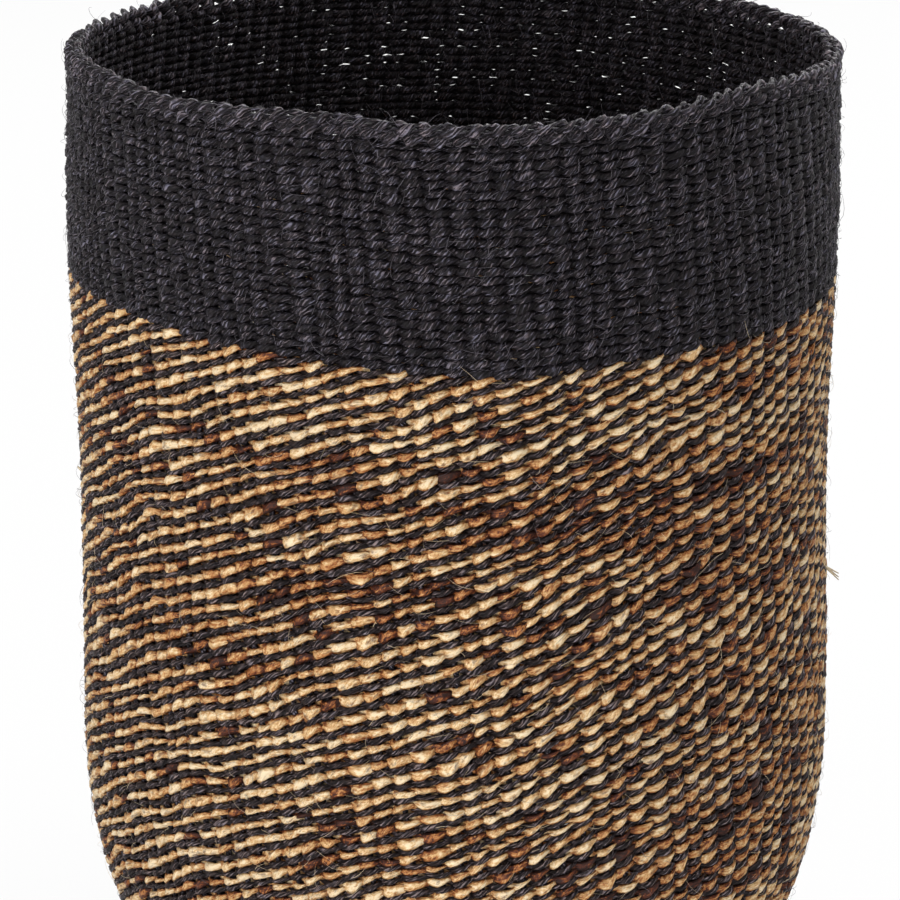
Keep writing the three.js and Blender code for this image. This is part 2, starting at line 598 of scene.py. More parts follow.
def natural_tone(seed):
    """Shade of each natural stitch from 0, darkest brown, to 1, cream."""

    def tone(at, angle, path, total, low):
        wander = np.random.default_rng(seed)
        single = wander.normal(size=total) * 0.09
        strip = smooth_random(total, 9.0, seed + 1) * 0.12
        value = 0.79 + single + strip
        # A few stitches are dark, and here and there a run of them is rusty
        dark = wander.random(total) < 0.07
        value = np.where(dark, 0.10 + 0.22 * wander.random(total), value)
        rusty = smooth_random(total, 26.0, seed + 2) > 1.35
        value = np.where(rusty, value - 0.34, value)
        patch = 0.03 * np.sin(2 * angle + 1.1) * np.sin(path / 46)
        patch = patch + 0.03 * np.sin(5 * angle - path / 31)
        turned = np.mod(angle + math.pi, 2 * math.pi) - math.pi
        for height, half_height, middle, half_width, change in TONE_PATCHES:
            far = ((path - height) / half_height) ** 2 + ((turned - middle) / half_width) ** 4
            patch = patch + change * np.exp(-far)
        # Each stitch darkens towards its ends, where it dives behind the warps: partly the strip's own
        # browner ends and partly painted shade
        return np.clip(of_nearest_stitch(value, at, low) + patch - 0.30 * tucked(at, 4), 0, 1)

    return tone


def black_tone(seed):
    """Shade of each black stitch, from 0 for the blackest to 1, with painted shade towards the crossings."""

    def tone(at, angle, path, total, low):
        wander = np.random.default_rng(seed)
        value = 0.56 + 0.11 * wander.normal(size=total) + 0.07 * smooth_random(total, 12.0, seed + 1)
        # Painted shade: each stitch darkens towards the crossings, where it lies hidden between the warps
        return np.clip(of_nearest_stitch(value, at, low), 0, 1) - 0.5 * tucked(at, 2)

    return tone


# Browner and paler parts of the wall, and on the right a broad patch of painted shade: path length
# of the middle and half the height in millimetres, angle of the middle and half the width in
# radians, and the change of shade
TONE_PATCHES = (
    (352, 14, 0.45, 0.55, -0.21),
    (235, 45, 1.10, 0.35, -0.14),
    (344, 9, 0.35, 0.32, -0.10),
    (360, 9, -0.34, 0.18, -0.20),
    (322, 11, -0.20, 0.30, -0.16),
    (322, 10, 0.66, 0.14, -0.20),
    (404, 9, -0.50, 0.50, 0.12),
    (381, 8, -0.39, 0.12, 0.14),
    (383, 8, -0.01, 0.14, 0.14),
    (224, 10, 0.18, 0.12, 0.12),
    (249, 9, -0.54, 0.26, 0.13),
    (284, 10, -0.42, 0.28, -0.11),
    (264, 9, -0.26, 0.12, -0.14),
    (206, 16, 0.62, 0.25, -0.20),
    (208, 14, 0.00, 0.30, 0.10),
    # Painted shade: the right side, turned away from the lamps on the left, is darker
    (290, 90, 0.85, 0.30, -0.05),
    (344, 6, 0.18, 0.30, -0.20),
    (326, 9, -0.27, 0.24, -0.17),
    (294, 8, -0.68, 0.18, -0.15),
    (302, 13, 0.12, 0.32, 0.07),
    (256, 26, -0.05, 0.50, 0.12),
)

# Places of the rings of a stitch pair, in degrees from its crest outside
NATURAL_PHASES = (0, 30, 58, 90, 130, 180, 230, 270, 302, 330)
BLACK_PHASES = (0, 36, 72, 108, 180, 252, 288, 324)
BAND_PHASES = tuple(range(0, 360, 45))
RIM_PHASES = tuple(range(0, 360, 30))

# How much stitches differ: swell is a share of their size and slip a share of the way to the
# next warp. Lift is upwards, stand outwards, twist along the cord and rough for each point of
# the surface, all in millimetres.
NATURAL_UNEVEN = {"swell": 0.18, "lift": 0.22, "stand": 0.15, "slip": 0.14, "twist": 1.5, "rough": 0.15}
BLACK_UNEVEN = {"swell": 0.10, "lift": 0.16, "stand": 0.14, "slip": 0.05, "twist": 0.8, "rough": 0.08}
BAND_UNEVEN = {"swell": 0.11, "lift": 0.18, "stand": 0.24, "slip": 0.07, "twist": 0.7, "rough": 0.18}
RIM_UNEVEN = {"swell": 0.10, "lift": 0.28, "stand": 0.15, "slip": 0.07, "twist": 0.7, "rough": 0.17}


# Materials


def feed(tree, value, socket):
    """Gives a socket a fixed value or the output of another node."""
    if isinstance(value, bpy.types.NodeSocket):
        tree.links.new(value, socket)
    else:
        socket.default_value = value


def node(tree, kind, inputs=None, **settings):
    """A new node. Each of its inputs is a fixed value or the output of another node."""
    made = tree.nodes.new(kind)
    for key, value in settings.items():
        setattr(made, key, value)
    for key, value in (inputs or {}).items():
        feed(tree, value, made.inputs[key])
    return made


def calculate(tree, operation, *values):
    """A Math node of one or two values, each a number or an output."""
    return node(tree, "ShaderNodeMath", dict(enumerate(values)), operation=operation).outputs[0]


def add_share(tree, value, other, middle, share):
    """A value with a share added of how far another lies above its middle."""
    above = calculate(tree, "SUBTRACT", other, middle)
    return calculate(tree, "ADD", value, calculate(tree, "MULTIPLY", above, share))


def map_range(tree, value, low, high, top=1.0):
    """A value that goes from 0 to a top while another goes from low to high."""
    inputs = {"Value": value, "From Min": low, "From Max": high, "To Max": top}
    return node(tree, "ShaderNodeMapRange", inputs).outputs[0]


def mix_colours(tree, share, first, second, blend_type="MIX"):
    inputs = {"Factor": share, "A": first, "B": second}
    mix = node(tree, "ShaderNodeMix", inputs, data_type="RGBA", blend_type=blend_type)
    return mix.outputs["Result"]


def colour_ramp(tree, shade, stops):
    """Colours that follow a shade, from pairs of a position and a colour."""
    ramp = node(tree, "ShaderNodeValToRGB", {"Fac": shade})
    elements = ramp.color_ramp.elements
    for position, _ in stops[1:-1]:
        elements.new(position)
    for element, (position, tint) in zip(elements, stops):
        element.position = position
        element.color = (*tint, 1)
    return ramp.outputs["Color"]


def noise(tree, vector, scale, detail, roughness=0.5):
    inputs = {"Vector": vector, "Scale": scale, "Detail": detail, "Roughness": roughness}
    return node(tree, "ShaderNodeTexNoise", inputs).outputs["Fac"]


def stretched_noise(tree, vector, along, across, scale, detail=3.0, offset=0.0):
    """Noise drawn out along the fibre. The offset makes it unlike the others."""
    inputs = {"Vector": vector, "Scale": (along, across, across), "Location": (offset,) * 3}
    mapping = node(tree, "ShaderNodeMapping", inputs)
    return noise(tree, mapping.outputs[0], scale, detail, roughness=0.6)


def attribute(tree, name, output):
    return node(tree, "ShaderNodeAttribute", attribute_name=name).outputs[output]


def new_material(name, roughness=0.5, specular=0.5):
    material = bpy.data.materials.new(name)
    material.use_nodes = True
    tree = material.node_tree
    shader = tree.nodes["Principled BSDF"]
    shader.inputs["Roughness"].default_value = roughness
    shader.inputs["Metallic"].default_value = 0.0
    shader.inputs["Specular IOR Level"].default_value = specular
    return material, tree, shader


def finish_material(tree, shader, colour_output, height, depth):
    """Gives a shader its colour and the bumps of its fibres, whose depth is in metres."""
    feed(tree, colour_output, shader.inputs["Base Color"])
    bump = node(tree, "ShaderNodeBump", {"Strength": 0.8, "Distance": depth, "Height": height})
    feed(tree, bump.outputs[0], shader.inputs["Normal"])


def natural_material(name):
    """Undyed strips: each stitch has its own shade, with streaks and flecks along the fibre."""
    shades = colours()
    material, tree, shader = new_material(name, specular=0.2)
    lay = attribute(tree, "fibre_lay", "Vector")
    streak = stretched_noise(tree, lay, along=0.14, across=1.3, scale=2.2)
    patch = stretched_noise(tree, lay, along=0.45, across=0.8, scale=1.3, offset=17.0)
    mottle = stretched_noise(tree, lay, along=0.7, across=1.0, scale=2.1, offset=29.0)
    fleck = stretched_noise(tree, lay, along=0.35, across=0.9, scale=1.0, offset=41.0)
    shade = attribute(tree, "tone", "Fac")
    for pattern, share in ((streak, 0.95), (patch, 1.2), (mottle, 1.1)):
        shade = add_share(tree, shade, pattern, 0.5, share)
    # A strip is darker along its edges: partly its own browner edges and partly painted shade where
    # it turns in between the strands
    parts = node(tree, "ShaderNodeSeparateXYZ", {0: lay})
    edge = calculate(tree, "POWER", calculate(tree, "ABSOLUTE", parts.outputs[1]), 3.5)
    shade = calculate(tree, "SUBTRACT", shade, calculate(tree, "MULTIPLY", edge, 0.50))
    stops = (
        (0.0, shades.dark_brown),
        (0.20, shades.red_brown),
        (0.40, shades.orange_brown),
        (0.60, shades.tan),
        (0.78, shades.straw),
        (1.0, shades.cream),
    )
    strip = colour_ramp(tree, shade, stops)
    flecks = map_range(tree, fleck, 0.54, 0.68, 0.75)
    flecked = mix_colours(tree, flecks, strip, (*shades.red_brown, 1))
    height = calculate(tree, "ADD", streak, calculate(tree, "MULTIPLY", patch, 0.6))
    finish_material(tree, shader, flecked, height, 0.0005)
    return material


def black_material(
    name, tints, ply_turn, bump_depth, fineness=2.0, broken=0.5, plies=0.42, fibres=2.8, fuzz=0.0
):
    """Black sisal cord of twisted plies, with fine paler fibres that follow them.

    Tints are the painted shade between the plies, the cord's own colour on them and the palest
    fibres, which are partly paler fibres and partly a painted highlight. The twist goes once
    round in ply_turn millimetres. Fineness sets how many plies show, broken how short the
    strokes of the fibres are, plies how much the painted shade between the plies changes the
    shade, fibres how much the fibres change it, and fuzz the strength of the sheen."""
    material, tree, shader = new_material(name, specular=0.12)
    lay = attribute(tree, "fibre_lay", "Vector")
    along, across, out = node(tree, "ShaderNodeSeparateXYZ", {0: lay}).outputs
    around = calculate(tree, "ARCTAN2", across, out)
    wobble = stretched_noise(tree, lay, along=0.55, across=0.55, scale=1.0, detail=1.0, offset=5.0)
    twist = calculate(tree, "MULTIPLY", along, 2 * math.pi / ply_turn)
    twist = calculate(tree, "SUBTRACT", twist, around)
    twist = calculate(tree, "ADD", twist, calculate(tree, "MULTIPLY", wobble, 1.5))
    twist = calculate(tree, "MULTIPLY", twist, fineness)
    lobe = calculate(tree, "ABSOLUTE", calculate(tree, "COSINE", twist))
    # Each stitch has strokes of its own
    stitch = calculate(tree, "ROUND", calculate(tree, "DIVIDE", along, WARP_SPACING))
    parts = [
        calculate(tree, "MULTIPLY", value, share)
        for value, share in ((twist, 0.62), (along, broken), (stitch, 7.3))
    ]
    strokes = node(tree, "ShaderNodeCombineXYZ", dict(enumerate(parts)))
    fibre = noise(tree, strokes.outputs[0], scale=1.3, detail=1.0)
    # Painted shade: the colour is darkest between the plies and lightest on top of each lobe
    shade = calculate(tree, "MULTIPLY", calculate(tree, "POWER", lobe, 1.6), plies)
    # Paler fibre strokes, partly the fibres' own colour and partly a painted highlight
    shade = add_share(tree, shade, fibre, 0.5, fibres)
    # The tone of each stitch, which carries the painted shade at its crossings
    shade = add_share(tree, shade, attribute(tree, "tone", "Fac"), 0.42, 0.6)
    black_colour = colour_ramp(tree, shade, tuple(zip((0.0, 0.5, 1.0), tints)))
    # The dye is browner in some places and bluer in others
    dye = stretched_noise(tree, lay, along=0.5, across=0.9, scale=1.0, detail=2.0, offset=11.0)
    dye = map_range(tree, dye, 0.38, 0.62)
    cast = mix_colours(tree, dye, (1.10, 1.0, 0.91, 1), (0.95, 1.0, 1.09, 1))
    dyed = mix_colours(tree, 1.0, black_colour, cast, "MULTIPLY")
    shader.inputs["Sheen Weight"].default_value = fuzz
    shader.inputs["Sheen Roughness"].default_value = 0.4
    height = calculate(tree, "ADD", calculate(tree, "MULTIPLY", lobe, 0.5), fibre)
    finish_material(tree, shader, dyed, height, bump_depth)
    return material


def stray_material(name, tint):
    """One loose fibre: a plain shade that changes a little from fibre to fibre."""
    material, tree, shader = new_material(name)
    darker = (*(0.45 * np.array(tint)), 1)
    shade = mix_colours(tree, attribute(tree, "tone", "Fac"), darker, (*tint, 1))
    feed(tree, shade, shader.inputs["Base Color"])
    return material


def kept_material(name, make, **values):
    """The material of a name, which is made the first time."""
    return bpy.data.materials.get(name) or make(name, **values)


def natural():
    return kept_material("natural_fibre_strips", natural_material)


def black():
    tints = colours().black_groove_shade, colours().black_ply, colours().black_fibre_highlight
    return kept_material(
        "black_sisal_cord", black_material, tints=tints, ply_turn=WARP_SPACING, bump_depth=0.0009
    )


def black_rim():
    return kept_material(
        "black_rim_cord",
        black_material,
        tints=(colours().black_groove_shade, colours().rim_ply, colours().rim_fibre_highlight),
        ply_turn=2 * WARP_SPACING,
        bump_depth=0.0010,
        fineness=2.4,
        broken=0.3,
        plies=0.62,
        fibres=2.1,
        fuzz=0.05,
    )


def black_in_wall():
    return kept_material(
        "black_wall_cord",
        black_material,
        tints=(colours().wall_groove_shade, colours().wall_ply, colours().wall_fibre_highlight),
        ply_turn=WARP_SPACING,
        bump_depth=0.0009,
        fineness=1.6,
        broken=0.4,
        plies=0.5,
        fibres=3.0,
    )


# Operators


# Path length from the middle of the base at which the wall's spiral starts, and the length of
# the upper part of the heel, which is a piece of its own, both in millimetres
WALL_START = 88.0
UPPER_HEEL = 60

# Rings of the base: path lengths of start and end in millimetres, and number of warps
BASE_RINGS = ((15.6, 24.0, 23), (24.0, 38.0, 35), (38.0, 60.0, 55), (60.0, WALL_START, 81))


class BASKET_OT_two_tone_wall(bpy.types.Operator):
    """Twine the heel and the two-tone wall"""

    bl_idname = "basket.two_tone_wall"
    bl_label = "Two-tone wall"

    def execute(self, context):
        form = outline_of_the_wall()
        course = sizes().two_tone_course
        heights = [(level, height * course / MM / USUAL_COURSE) for level, height in COURSE_HEIGHTS]
        spiral = spiral_of_courses(form, WALL_START, form["band_start"], heights, wall_warps())
        natural_stitch = model_stitch_pair(
            6, NATURAL_PHASES, crest=(2.44, 0.85), cross=(1.42, 0.78), reach=2.13, rise=0.90,
            taper=1.3, droop=0.20, slant=0.55,
        )
        black_stitch = model_stitch_pair(
            6, BLACK_PHASES, crest=(1.42, 1.05), cross=(1.12, 0.92), reach=2.12, rise=0.90, slant=0.3
        )
        pale = twine(form, spiral, natural_stitch, 0, 21, NATURAL_UNEVEN, natural_tone(22))
        dark = twine(form, spiral, black_stitch, 1, 31, BLACK_UNEVEN, black_tone(32))
        heel_end = form["heel_end"]
        third = (form["band_start"] - heel_end) / 3
        limits = (0, heel_end - UPPER_HEEL, heel_end, heel_end + third, heel_end + 2 * third, math.inf)
        names = ("lower_heel", "upper_heel", "lower_wall", "middle_wall", "upper_wall")
        for name, low, high in zip(names, limits[:-1], limits[1:]):
            target = "heel_weave" if "heel" in name else "two_tone_wall_weave"
            part = [cut_by_path(pale, low, high)]
            add_piece("natural_weft_" + name, part, natural(), "natural_fibre", target)
            part = [cut_by_path(dark, low, high)]
            add_piece("black_weft_" + name, part, black_in_wall(), "black_sisal", target)
        return {"FINISHED"}


# How far below the rim's rows the last full course of the black band ends, in millimetres
BAND_TOP_GAP = 1.6


class BASKET_OT_black_band(bpy.types.Operator):
    """Twine the black band below the rim"""

    bl_idname = "basket.black_band"
    bl_label = "Black band"

    def execute(self, context):
        form = outline_of_the_wall()
        given = sizes()
        last = form["rim"] - given.rim_height / MM - BAND_TOP_GAP
        heights = [(0, given.band_course / MM)]
        spiral = spiral_of_courses(form, form["band_start"], last, heights, wall_warps())
        spiral = run_out(form, spiral, wall_warps())
        stitch = model_stitch_pair(
            6, BAND_PHASES, crest=(1.82, 1.22), cross=(1.36, 0.96), reach=1.76, rise=0.38,
            taper=1.0, slant=0.15, flat=0.85,
        )
        for name, behind in (("one", 0), ("two", 1)):
            strand = twine(form, spiral, stitch, behind, 41 + behind, BAND_UNEVEN, black_tone(44 + behind))
            add_piece("black_band_weft_" + name, [strand], black(), "black_sisal", "black_band_weave")
        return {"FINISHED"}


def round_cord(path_points, radius, sides, tone):
    """A round cord along points in metres. Radius is in millimetres, one for each point or for all."""
    points = np.asarray(path_points, float)
    ahead = np.gradient(points, axis=0)
    ahead /= np.linalg.norm(ahead, axis=1)[:, None]
    axis = np.abs(ahead).mean(0).argmin()
    guide = np.zeros(3)
    guide[axis] = 1
    side = np.cross(ahead, guide)
    side /= np.linalg.norm(side, axis=1)[:, None]
    top = np.cross(side, ahead)
    radius = np.broadcast_to(np.asarray(radius, float), len(points))
    around = np.arange(sides) * 2 * math.pi / sides
    offset = np.cos(around)[None, :, None] * side[:, None] + np.sin(around)[None, :, None] * top[:, None]
    steps = np.linalg.norm(np.diff(points, axis=0), axis=1)
    lay = np.zeros((len(points), sides, 3))
    lay[..., 0] = (np.concatenate([[0], np.cumsum(steps)]) / MM)[:, None]
    lay[..., 1] = np.sin(around)
    lay[..., 2] = np.cos(around)
    return {
        "points": points[:, None] + offset * (radius * MM)[:, None, None],
        "lay": lay,
        "tone": np.full(len(points), float(tone)),
    }


def angle_of_warp(form, number, path):
    """Angles at which a warp of the wall passes some path lengths."""
    warps = wall_warps()
    table = np.linspace(-1.5 * math.pi, 1.5 * math.pi, 2000)
    start = warp_count_at(form, table, np.zeros(1), warps)
    angle = np.interp(number, start, table) * np.ones_like(path)
    # Each step comes closer to the angle at which the count is the warp's number
    for _ in range(6):
        count = warp_count_at(form, angle, path, warps)
        angle = angle + (number - count) * 2 * math.pi / warps[0]
    return angle


class BASKET_OT_warps(bpy.types.Operator):
    """Set up the warps, the cords that the strands are twined round"""

    bl_idname = "basket.warps"
    bl_label = "Warps"

    def execute(self, context):
        form = outline_of_the_wall()
        given = sizes()
        wander = np.random.default_rng(51)
        strands = []
        top = form["rim"] - given.rim_height / MM / 2
        low = math.ceil(warp_count_at(form, -math.pi, 0, wall_warps()))
        # The warps of the wall start a little inside its lowest course
        path = np.linspace(WALL_START - 2, top, 34)
        for number in range(low, low + given.warps):
            angle = angle_of_warp(form, number, path)
            sway = 0.15 * np.sin(path / 17 + wander.random() * 6)
            radius = given.warp_radius / MM * (0.92 + 0.16 * wander.random())
            strands.append(round_cord(place(form, angle, path, sway), radius, 5, wander.random()))
        for first, last, count in BASE_RINGS:
            path = np.linspace(first - 1.0, last + 1.5, 5)
            for number in range(count):
                angle = np.full(5, (number + 0.02 * wander.normal()) * 2 * math.pi / count)
                strands.append(round_cord(place(form, angle, path, 0 * path), 1.0, 5, wander.random()))
        add_piece("upright_warps", strands, black(), "black_sisal", "two_tone_wall_weave")
        return {"FINISHED"}


# Start knot: cords in each direction, and in millimetres how far they run out under the base,
# how far they go up and down to cross, and their radius
KNOT_CORDS = 9
KNOT_OVERLAP = 3.5
KNOT_CROSSING = 1.2
KNOT_CORD_RADIUS = 1.5


def crossed_cords(middle):
    """Cords crossed over and under each other, whose ends run out into the base as warps."""
    reach = KNOT_HIGH.x / MM
    crown = 0.6 * (KNOT_HIGH.z / MM - 2 * middle)
    pitch = 2 * reach / (KNOT_CORDS + 0.6)
    centre = (KNOT_CORDS - 1) / 2
    wander = np.random.default_rng(95)
    strands = []
    for row in range(KNOT_CORDS):
        across = (row - centre) * pitch
        half = math.sqrt(reach**2 - across**2) + KNOT_OVERLAP
        along = np.linspace(-half, half, 33)
        wave = KNOT_CROSSING * np.cos((along / pitch + centre - row) * math.pi)
        wave = wave * np.clip((half - np.abs(along)) / 3, 0, 1)
        dome = middle + crown * (1 - (along**2 + across**2) / reach**2).clip(0)
        aside = across + 0.25 * np.sin(along / 4 + 6 * wander.random())
        for cord in ((along, aside, dome + wave), (aside, along, dome - wave)):
            points = np.stack(cord, -1) * MM
            strands.append(round_cord(points, KNOT_CORD_RADIUS, 8, 0.45 + 0.4 * wander.random()))
    return strands


class BASKET_OT_base(bpy.types.Operator):
    """Twine the flat base and tie the knot at its middle"""

    bl_idname = "basket.base"
    bl_label = "Base"

    def execute(self, context):
        form = outline_of_the_wall()
        natural_stitch = model_stitch_pair(
            6, BLACK_PHASES, crest=(1.85, 0.85), cross=(1.50, 0.80), reach=1.95, rise=0.60, taper=1.0
        )
        black_stitch = model_stitch_pair(
            6, BLACK_PHASES, crest=(1.80, 1.00), cross=(1.50, 0.90), reach=1.80, rise=0.60, taper=1.0
        )
        pale, dark = [], []
        heights = [(0, sizes().two_tone_course / MM)]
        for order, (first, last, warps) in enumerate(BASE_RINGS):
            spiral = spiral_of_courses(form, first, last, heights, (warps, 0.0, 0.0))
            spiral = lengthened(spiral, round(2.5 * TURN_STEPS / warps))
            tone = natural_tone(70 + order)
            pale.append(twine(form, spiral, natural_stitch, 0, 60 + order, NATURAL_UNEVEN, tone))
            tone = black_tone(90 + order)
            dark.append(twine(form, spiral, black_stitch, 1, 80 + order, BLACK_UNEVEN, tone))
        add_piece("natural_weft_base", pale, natural(), "natural_fibre", "base_weave")
        add_piece("black_weft_base", dark, black_in_wall(), "black_sisal", "base_weave")
        knot = crossed_cords(form["level"][0])
        add_piece("crossed_start_cords", knot, natural(), "natural_fibre", "base_start_knot")
        return {"FINISHED"}


# Warp ends along the rim: warps that each lies over, and in millimetres how far below the rim
# it starts, how high it arches, how far it passes from outside to inside, and its radius
FOLD_WARPS = 2.2
FOLD_DEPTH = 6.5
FOLD_ARCH = 3.0
FOLD_CROSSING = 1.6
FOLD_RADIUS = 1.3


class BASKET_OT_rim(bpy.types.Operator):
    """Turn the warp ends over and twine two thick rows round them"""

    bl_idname = "basket.rim"
    bl_label = "Rim"

    def execute(self, context):
        form = outline_of_the_wall()
        # The rows run a little past a full turn, so that they close
        angle = np.linspace(-math.pi - 0.06, math.pi + 0.06, 800)
        top = form["rim"] + wave_height(RIM_WAVE, angle)
        count = warp_count_at(form, angle, top, wall_warps())
        share = np.linspace(0, 1, 7)
        ends = []
        for number in range(sizes().warps):
            at = math.ceil(count[0]) + number + FOLD_WARPS * share
            along = np.interp(at, count, angle)
            path = np.interp(along, angle, top) - FOLD_DEPTH + FOLD_ARCH * np.sin(share * 2.4)
            points = place(form, along, path, FOLD_CROSSING * (0.5 - share))
            ends.append(round_cord(points, FOLD_RADIUS, 6, 0.2))
        add_piece("rim_folded_ends", ends, black_rim(), "black_sisal", "rim_fold")

        upper = model_stitch_pair(
            8, RIM_PHASES, crest=(1.88, 1.80), cross=(0.60, 0.62), reach=2.00, rise=1.30,
            taper=1.5, slant=0.15,
        )
        lower = model_stitch_pair(
            8, RIM_PHASES, crest=(1.78, 1.50), cross=(0.62, 0.60), reach=2.02, rise=1.20,
            taper=1.5, slant=0.15,
        )
        # The rows keep the height that their stitches are modelled for
        height = np.full(angle.size, MODELLED_COURSE)
        # Each row has a depth below the rim, a number of warps that it is ahead and a seed
        for name, stitch, depth, ahead, seed, target in (
            ("rim_upper_row", upper, 2.3, 0.0, 101, "rim_edge_cord_inner"),
            ("rim_lower_row", lower, 6.2, 0.5, 111, "rim_edge_cord_outer"),
        ):
            row = (angle, top - depth, count + ahead, height)
            strands = [
                twine(form, row, stitch, behind, seed + behind, RIM_UNEVEN, black_tone(seed + 5 + behind))
                for behind in (0, 1)
            ]
            add_piece(name, strands, black_rim(), "black_sisal", target)
        return {"FINISHED"}


# Path length, angle, reach in millimetres and heading of each frayed strip end
STRIP_ENDS = ((293, 1.44, 7.5, -0.95), (333, -1.42, 2.5, 2.4), (262, 1.30, 2.5, 0.6), (236, -0.55, 2.2, 1.2))


def fibre_points(form, share, path, angle, reach, heading, out, curl=0.0, steep=1.0):
    """Points of a loose fibre that runs off from a place on the wall.

    Share goes from 0 to 1 along it. Heading is its direction in radians, from round the basket
    towards up. Curl bends it, and steep stretches its climb."""
    ahead = reach * share
    aside = curl * share**2
    x = ahead * math.cos(heading) - aside * math.sin(heading)
    y = ahead * math.sin(heading) + aside * math.cos(heading)
    radius = np.interp(path, form["path"], form["radius"])
    return place(form, angle + x / radius, path + steep * y, out)


class BASKET_OT_stray_fibres(bpy.types.Operator):
    """Scatter the loose fibre ends"""

    bl_idname = "basket.stray_fibres"
    bl_label = "Stray fibres"

    def execute(self, context):
        form = outline_of_the_wall()
        given = sizes()
        wander = np.random.default_rng(131)
        pale, grey = [], []
        share = np.linspace(0, 1, 6)
        thinner = 1.1 - 0.6 * share
        for _ in range(given.stray_fibres):
            path = wander.uniform(form["base_edge"] + 28, form["rim"] - 1)
            side = -1 if wander.random() < 0.15 else 1
            angle = wander.uniform(-math.pi, math.pi)
            reach = wander.uniform(3.0, 11.0) * (1.6 if wander.random() < 0.06 else 1.0)
            heading = wander.normal(0.25, 0.8) + (math.pi if wander.random() < 0.5 else 0)
            curl = wander.normal() * 0.35 * reach
            rise = wander.uniform(0.3, 3.1)
            out = side * (2.0 + rise * np.sin(share * wander.uniform(1.6, 3.0)))
            black_end = path > form["band_start"] or wander.random() < 0.5
            radius = wander.uniform(0.05, 0.1) * thinner
            points = fibre_points(form, share, path, angle, reach, heading, out, curl)
            (grey if black_end else pale).append(round_cord(points, radius, 3, wander.random()))
        # Short ones on the black band, which stand more upright inside
        share = np.linspace(0, 1, 5)
        thinner = 1.1 - 0.6 * share
        for _ in range(given.short_fibres):
            path = wander.uniform(form["band_start"] - 2, form["rim"] - 6)
            angle = wander.uniform(-math.pi, math.pi)
            reach = wander.uniform(2.0, 6.0)
            heading = wander.normal(0.95, 0.35)
            curl = wander.normal() * 0.12 * reach
            out = 2.5 + wander.uniform(0.5, 1.0) * np.sin(share * math.pi)
            side, steep = (-1, 1.6) if wander.random() < 0.45 else (1, 1.0)
            points = fibre_points(form, share, path, angle, reach, heading, side * out, curl, steep)
            grey.append(round_cord(points, wander.uniform(0.06, 0.11), 3, wander.random()))
        # Fine ones on the rim
        for _ in range(given.rim_fibres):
            angle = wander.uniform(-math.pi, math.pi)
            path = form["rim"] + wave_height(RIM_WAVE, angle) - wander.uniform(0.3, 7.0)
            reach = wander.uniform(1.5, 5.0)
            heading = wander.uniform(0, 2 * math.pi)
            side = 1 if wander.random() < 0.7 else -1
            out = side * (2.6 + wander.uniform(0.2, 1.0) * np.sin(share * 2.2))
            points = fibre_points(form, share, path, angle, reach, heading, out, steep=0.4)
            grey.append(round_cord(points, wander.uniform(0.05, 0.09), 3, wander.random()))
        # A frayed strip end stands off the wall here and there
        for path, angle, reach, heading in STRIP_ENDS:
            for fan in (-0.2, 0.0, 0.22):
                out = 2.2 + 0.75 * reach * share
                points = fibre_points(form, share, path, angle, reach, heading + fan, out)
                pale.append(round_cord(points, 0.45 * thinner, 5, 0.35 + 0.3 * wander.random()))
        shades = colours()
        material = stray_material("pale_stray_fibre", shades.stray_pale)
        add_piece("pale_stray_fibres", pale, material, "natural_fibre")
        material = stray_material("black_stray_fibre", shades.stray_grey_highlight)
        add_piece("black_stray_fibres", grey, material, "black_sisal")
        return {"FINISHED"}


# Square lamps: name, place in metres, width in metres and share of the lamp power
LAMPS = (
    ("left_light", (-2.0, -1.3, 0.45), 1.2, 1.08),
    ("front_left_light", (-1.2, -2.1, 0.40), 1.2, 0.24),
    ("front_light", (0.0, -2.4, 1.30), 1.0, 0.15),
    ("low_light", (-0.04, -0.8, 0.05), 0.4, 0.14),
    ("right_light", (2.3, 0.5, 0.60), 0.8, 0.09),
    ("back_light", (0.2, 1.9, 1.50), 1.0, 0.90),
    ("top_light", (0.65, 0.2, 1.5), 0.9, 0.56),
    ("top_left_light", (-0.6, -0.3, 1.5), 0.9, 0.08),
)

# Level on the basket's axis that every lamp points at, in metres
LAMP_AIM = 0.2

# Share of the floor's brightness that doesn't come from the lamps where it is seen directly
FLOOR_GLOW = 0.95


def seen_directly(tree):
    """1 for rays from the camera, a mirror or glass, and 0 for light that spreads."""
    rays = node(tree, "ShaderNodeLightPath").outputs
    seen = calculate(tree, "MAXIMUM", rays["Is Camera Ray"], rays["Is Glossy Ray"])
    return calculate(tree, "MAXIMUM", seen, rays["Is Transmission Ray"])


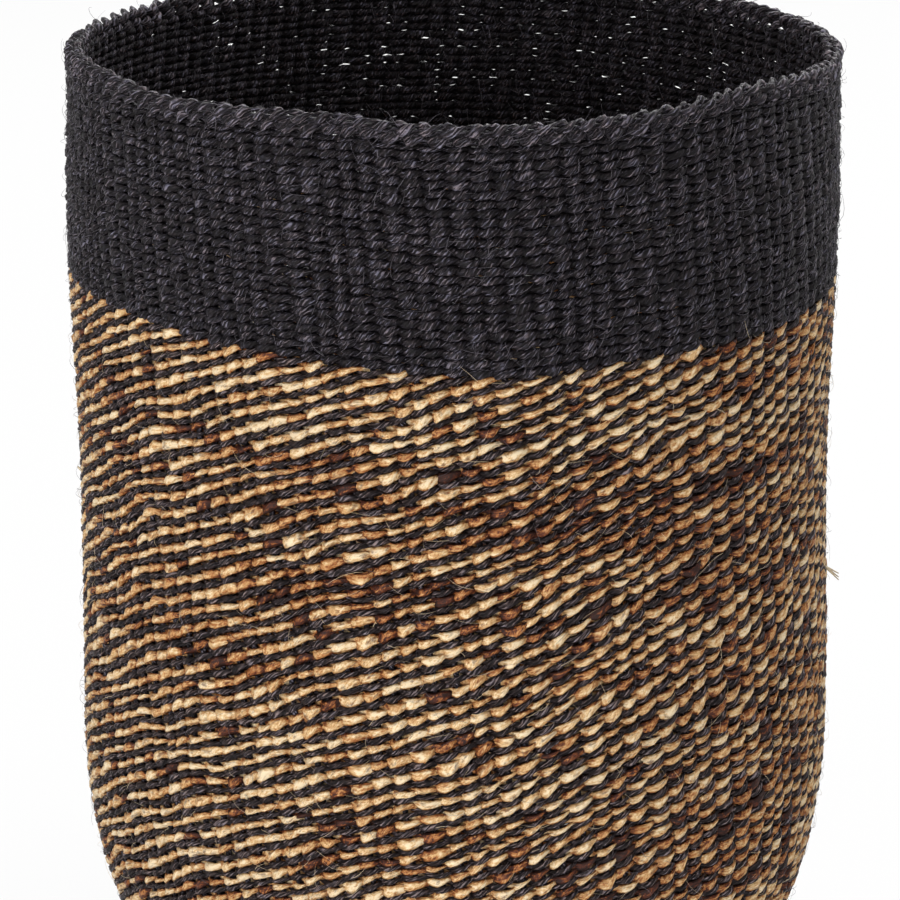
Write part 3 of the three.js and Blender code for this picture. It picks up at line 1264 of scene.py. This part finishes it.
class BASKET_OT_stage(bpy.types.Operator):
    """Set the floor, the light and the camera"""

    bl_idname = "basket.stage"
    bl_label = "Stage"

    def execute(self, context):
        given = stage_settings()
        scene = context.scene
        deselect_all()
        bpy.ops.mesh.primitive_plane_add(size=24)
        floor = context.active_object
        floor.name = "floor"
        material, tree, shader = new_material("pale_floor", roughness=0.9, specular=0.0)
        shader.inputs["Base Color"].default_value = (*given.floor_colour, 1)
        glow = node(tree, "ShaderNodeEmission", {"Strength": 1.0})
        share = calculate(tree, "MULTIPLY", seen_directly(tree), FLOOR_GLOW)
        inputs = {0: share, 1: shader.outputs[0], 2: glow.outputs[0]}
        mix = node(tree, "ShaderNodeMixShader", inputs)
        feed(tree, mix.outputs[0], tree.nodes["Material Output"].inputs["Surface"])
        floor.data.materials.append(material)

        # The sky looks white and gives only a little light
        world = scene.world or bpy.data.worlds.new("studio")
        scene.world = world
        world.use_nodes = True
        sky = world.node_tree
        background = sky.nodes["Background"]
        background.inputs["Color"].default_value = (1, 1, 1, 1)
        strength = calculate(sky, "MULTIPLY", seen_directly(sky), 1 - given.sky_strength)
        strength = calculate(sky, "ADD", strength, given.sky_strength)
        feed(sky, strength, background.inputs["Strength"])

        for name, where, width, share in LAMPS:
            lamp = bpy.data.lights.new(name, "AREA")
            lamp.shape = "SQUARE"
            lamp.size = width
            lamp.energy = given.key_power * share
            item = bpy.data.objects.new(name, lamp)
            item.location = where
            aim = np.array(where) - np.array([0, 0, LAMP_AIM])
            tilt = math.acos(aim[2] / np.linalg.norm(aim))
            item.rotation_euler = (tilt, 0, math.atan2(aim[1], aim[0]) + math.pi / 2)
            scene.collection.objects.link(item)

        lens = bpy.data.cameras.new("camera")
        lens.lens = given.camera_lens
        lens.sensor_width = 36
        lens.shift_x = given.camera_shift
        lens.clip_start = 0.05
        lens.clip_end = 60
        camera = bpy.data.objects.new("camera", lens)
        camera.location = (0, -given.camera_distance, given.camera_height)
        camera.rotation_euler = (math.pi / 2 - given.camera_pitch, 0, 0)
        scene.collection.objects.link(camera)
        scene.camera = camera
        scene.view_settings.view_transform = "Standard"
        return {"FINISHED"}


class BASKET_PT_panel(bpy.types.Panel):
    """Sizes, colours and steps of the basket"""

    bl_idname = "BASKET_PT_panel"
    bl_label = "Sisal basket"
    bl_space_type = "VIEW_3D"
    bl_region_type = "UI"
    bl_category = "Basket"

    def draw(self, context):
        for group_name, _ in GROUPS:
            group = getattr(context.scene, group_name)
            box = self.layout.box()
            for name in group.__annotations__:
                box.prop(group, name)
        for step in STEPS:
            self.layout.operator(step.bl_idname)


STEPS = (
    BASKET_OT_stage,
    BASKET_OT_warps,
    BASKET_OT_base,
    BASKET_OT_two_tone_wall,
    BASKET_OT_black_band,
    BASKET_OT_rim,
    BASKET_OT_stray_fibres,
)
GROUPS = (
    ("basket_sizes", BasketSizes),
    ("basket_colours", BasketColours),
    ("basket_stage", StageSettings),
)


def register():
    for name, group in GROUPS:
        bpy.utils.register_class(group)
        setattr(bpy.types.Scene, name, bpy.props.PointerProperty(type=group))
    for item in (*STEPS, BASKET_PT_panel):
        bpy.utils.register_class(item)


def unregister():
    for item in reversed((*STEPS, BASKET_PT_panel)):
        bpy.utils.unregister_class(item)
    for name, group in reversed(GROUPS):
        delattr(bpy.types.Scene, name)
        bpy.utils.unregister_class(group)


def main():
    register()
    for step in STEPS:
        family, name = step.bl_idname.split(".")
        getattr(getattr(bpy.ops, family), name)()


if __name__ == "__main__":
    main()
